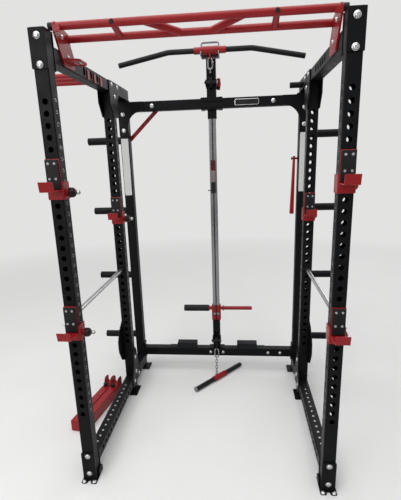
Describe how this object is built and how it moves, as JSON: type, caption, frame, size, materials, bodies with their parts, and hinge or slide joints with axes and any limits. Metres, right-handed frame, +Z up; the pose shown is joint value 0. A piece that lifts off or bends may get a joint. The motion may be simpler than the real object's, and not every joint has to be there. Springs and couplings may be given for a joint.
{
  "type": "power cage",
  "caption": "Square tube power cage with bar cups, safety rods, multi-grip pull-up bar, storage pegs and a rear cable tower with a plate carriage.",
  "frame": {"origin": "on the floor, under the middle of the whole object's box", "axes": "+X to the right seen from the front, +Y to the back where the cable tower stands, +Z up"},
  "size_m": [1.69, 1.3, 2.244],
  "materials": {
    "black_frame": "satin powder coat",
    "red_frame": "satin powder coat",
    "zinc_bolts": "bright plated",
    "chrome": "polished plated",
    "badge": "blank satin plate",
    "black_rubber": "matt",
    "black_plastic": "matt",
    "black_cable": "coated cable",
    "coupler_plastic": "matt",
    "grey_nylon": "matt",
    "black_grip": "coated"
  },
  "bodies": {
    "cage": {"front_upright_left": "black_frame", "front_upright_right": "black_frame", "rear_upright_left": "black_frame", "rear_upright_right": "black_frame", "lat_post_left": "black_frame", "lat_post_right": "black_frame", "top_beam_left": "black_frame", "top_beam_right": "black_frame", "base_rail_left": "black_frame", "base_rail_right": "black_frame", "rear_ties": "black_frame", "front_top_plates": "black_frame", "feet": "black_frame", "joint_plates": "black_frame", "top_crossmember": "black_frame", "bottom_crossmember": "black_frame", "lat_column": "black_frame", "column_saddle": "black_frame", "lower_column": "black_frame", "bar_holder": "black_frame", "weight_pegs": "black_frame", "inner_pegs": "black_frame", "pullup_front_tube": "red_frame", "pullup_rear_tube": "red_frame", "pullup_brackets": "red_frame", "side_tubes": "red_frame", "corner_brace": "red_frame", "bar_cup_front_upper_left": "red_frame", "bar_cup_front_upper_right": "red_frame", "bar_cup_front_lower_left": "red_frame", "bar_cup_front_lower_right": "red_frame", "bar_cup_rear_left": "red_frame", "bar_cup_rear_right": "red_frame", "bolts": "zinc_bolts", "nameplate": "badge", "foot_blocks": "black_rubber", "cup_liners": "black_plastic", "guide_rail": "chrome", "lat_cable": "black_cable", "cable_coupler": "coupler_plastic", "low_link": "chrome"},
    "safety_rod_left": {"safety_rod_left": "chrome"},
    "safety_rod_right": {"safety_rod_right": "chrome"},
    "carriage": {"weight_carriage": "red_frame"},
    "sleeve": {"adapter_sleeve": "black_plastic"},
    "top_pulley": {"top_pulley": "grey_nylon"},
    "low_pulley": {"low_pulley": "grey_nylon"},
    "lat_bar": {"lat_bar": "black_grip", "bar_link": "chrome"},
    "low_bar": {"low_bar": "black_grip"},
    "latch_lever": {"latch_lever": "red_frame"},
    "hanging_bar": {"hanging_bar": "red_frame"},
    "spotter_arm_inner": {"spotter_arm_inner": "red_frame"},
    "spotter_arm_outer": {"spotter_arm_outer": "red_frame"},
    "pin_front_upper_left": {"cup_pin_front_upper_left": "chrome"},
    "pin_front_upper_right": {"cup_pin_front_upper_right": "chrome"},
    "pin_front_lower_left": {"cup_pin_front_lower_left": "chrome"},
    "pin_front_lower_right": {"cup_pin_front_lower_right": "chrome"},
    "pin_rear_left": {"cup_pin_rear_left": "chrome"},
    "pin_rear_right": {"cup_pin_rear_right": "chrome"}
  },
  "joints": [
    {"name": "pin_pull_front_upper_left", "type": "slide", "parent": "cage", "child": "pin_front_upper_left", "axis": [1, 0, 0], "range_m": [0, 0.018], "stiffness_N_per_m": 600, "springref_m": -0.01},
    {"name": "pin_pull_front_upper_right", "type": "slide", "parent": "cage", "child": "pin_front_upper_right", "axis": [1, 0, 0], "range_m": [0, 0.018], "stiffness_N_per_m": 600, "springref_m": -0.01},
    {"name": "pin_pull_front_lower_left", "type": "slide", "parent": "cage", "child": "pin_front_lower_left", "axis": [1, 0, 0], "range_m": [0, 0.018], "stiffness_N_per_m": 600, "springref_m": -0.01},
    {"name": "pin_pull_front_lower_right", "type": "slide", "parent": "cage", "child": "pin_front_lower_right", "axis": [1, 0, 0], "range_m": [0, 0.018], "stiffness_N_per_m": 600, "springref_m": -0.01},
    {"name": "pin_pull_rear_left", "type": "slide", "parent": "cage", "child": "pin_rear_left", "axis": [1, 0, 0], "range_m": [0, 0.018], "stiffness_N_per_m": 600, "springref_m": -0.01},
    {"name": "pin_pull_rear_right", "type": "slide", "parent": "cage", "child": "pin_rear_right", "axis": [1, 0, 0], "range_m": [0, 0.018], "stiffness_N_per_m": 600, "springref_m": -0.01},
    {"name": "safety_rod_slide_left", "type": "slide", "parent": "cage", "child": "safety_rod_left", "axis": [0, 1, 0], "range_m": [0, 0.23]},
    {"name": "safety_rod_slide_right", "type": "slide", "parent": "cage", "child": "safety_rod_right", "axis": [0, 1, 0], "range_m": [0, 0.23]},
    {"name": "carriage_slide", "type": "slide", "parent": "cage", "child": "carriage", "axis": [0, 0, 1], "range_m": [0, 1.25]},
    {"name": "sleeve_slide", "type": "slide", "parent": "carriage", "child": "sleeve", "axis": [-1, 0, 0], "range_m": [0, 0.19]},
    {"name": "top_pulley_turn", "type": "hinge", "parent": "cage", "child": "top_pulley", "pos_m": [0, 0.5405, 2.017], "axis": [1, 0, 0], "range_deg": [-20, 2330]},
    {"name": "low_pulley_turn", "type": "hinge", "parent": "cage", "child": "low_pulley", "pos_m": [0, 0.5465, 0.25], "axis": [1, 0, 0], "range_deg": [-20, 2890]},
    {"name": "lat_bar_lift", "type": "slide", "parent": "cage", "child": "lat_bar", "axis": [0, -0.5, 0.866], "range_m": [0, 0.12]},
    {"name": "low_bar_swing", "type": "hinge", "parent": "cage", "child": "low_bar", "pos_m": [0, 0.46165, 0.019], "axis": [-0.6824, -0.657, 0.3204], "range_deg": [0, 35]},
    {"name": "latch_lever_turn", "type": "hinge", "parent": "cage", "child": "latch_lever", "pos_m": [0.042, 0.615, 1.992], "axis": [0, 1, 0], "range_deg": [0, 30]},
    {"name": "hanging_bar_swing", "type": "hinge", "parent": "cage", "child": "hanging_bar", "pos_m": [0.5305, 0.581, 1.54], "axis": [1, 0, 0], "range_deg": [-20, 20]},
    {"name": "spotter_arm_lift_inner", "type": "slide", "parent": "cage", "child": "spotter_arm_inner", "axis": [0, 0, 1], "range_m": [0, 0.3]},
    {"name": "spotter_arm_lift_outer", "type": "slide", "parent": "cage", "child": "spotter_arm_outer", "axis": [0, 0, 1], "range_m": [0, 0.3]}
  ],
  "couplings": [
    {"joint": "top_pulley_turn", "follows": "carriage_slide", "rad_per_m": 32.258},
    {"joint": "low_pulley_turn", "follows": "carriage_slide", "rad_per_m": 40}
  ]
}
